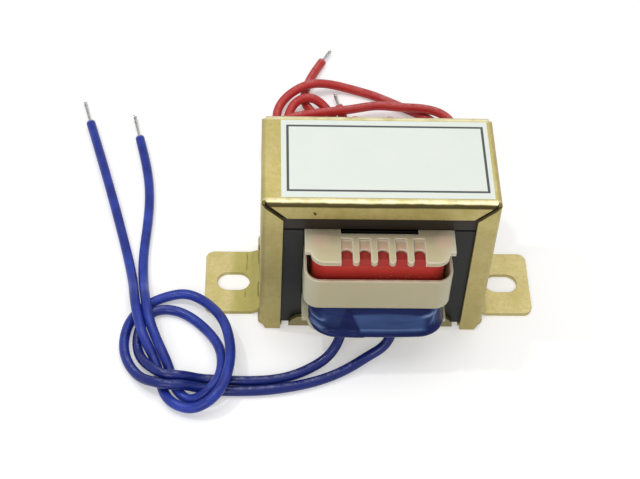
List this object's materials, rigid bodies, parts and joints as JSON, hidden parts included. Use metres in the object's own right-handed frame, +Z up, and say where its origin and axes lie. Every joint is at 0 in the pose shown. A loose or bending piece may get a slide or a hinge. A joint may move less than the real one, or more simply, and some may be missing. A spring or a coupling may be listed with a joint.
{
  "type": "laminated chassis transformer",
  "caption": "Small mains transformer for a chassis: laminated core in a folded sheet cover, stacked windings on two bobbins, slotted mounting ears and free wire leads.",
  "frame": {"origin": "middle of the underside, on the plane of the mounting ears' lower faces", "axes": "+X along the ears, -Y to the side where the blue leads come out, +Z up towards the label"},
  "size_m": [0.1076, 0.1153, 0.0428],
  "materials": {
    "plated_cover": "zinc plated with a dull yellow passivation",
    "plated_plate": "zinc plated with a yellow passivation",
    "label_paper": "printed label, printing left off",
    "core_sheet": "varnished silicon steel",
    "bobbin_nylon": "natural moulded nylon",
    "copper_wire": "enamelled copper wire",
    "red_tape": "polyester tape",
    "blue_tape": "polyester tape",
    "red_insulation": "soft vinyl",
    "blue_insulation": "soft vinyl",
    "tinned_strands": "tinned copper"
  },
  "bodies": {
    "root": {"cover": "plated_cover", "mounting_plate": "plated_plate", "rating_label": "label_paper", "front_e_sheet": "core_sheet", "front_i_sheet": "core_sheet", "e_sheets_upright": "core_sheet", "i_sheets_upright": "core_sheet", "e_sheets_inverted": "core_sheet", "i_sheets_inverted": "core_sheet", "rear_e_sheet": "core_sheet", "rear_i_sheet": "core_sheet", "primary_bobbin": "bobbin_nylon", "secondary_bobbin": "bobbin_nylon", "primary_winding": "copper_wire", "secondary_winding": "copper_wire", "primary_tape": "red_tape", "secondary_tape": "blue_tape", "red_lead_a": "red_insulation", "red_lead_b": "red_insulation", "blue_lead_a": "blue_insulation", "blue_lead_b": "blue_insulation", "red_strands_a": "tinned_strands", "red_strands_b": "tinned_strands", "blue_strands_a": "tinned_strands", "blue_strands_b": "tinned_strands"}
  },
  "joints": []
}
